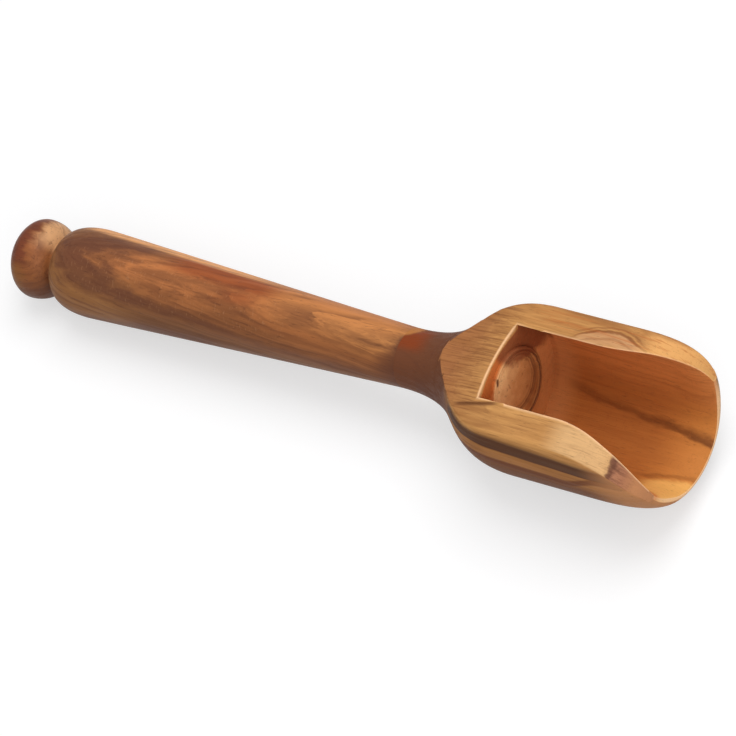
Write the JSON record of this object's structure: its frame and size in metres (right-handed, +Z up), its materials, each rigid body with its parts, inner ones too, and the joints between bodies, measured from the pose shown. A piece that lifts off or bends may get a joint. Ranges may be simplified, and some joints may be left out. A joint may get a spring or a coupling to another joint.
{
  "type": "salt scoop",
  "caption": "Turned wooden salt scoop: a bored, open-topped head with a rounded mouth on a tapered round handle that ends in a grooved knob.",
  "frame": {"origin": "on the table, under the middle of the scoop's bounding box as it rests with the bowl open upward", "axes": "+X from the knob toward the mouth, +Y across the bowl, +Z up from the table; the turning axis climbs 3.9 degrees toward the mouth"},
  "size_m": [0.1596, 0.033, 0.0268],
  "materials": {
    "head_wood": "fine-sanded olive wood, lightly oiled, dull sheen",
    "handle_wood": "fine-sanded olive wood, oiled, satin",
    "knob_wood": "fine-sanded olive wood, oiled, satin"
  },
  "bodies": {
    "root": {"scoop_head": "head_wood", "handle": "handle_wood", "end_knob": "knob_wood"}
  },
  "joints": []
}
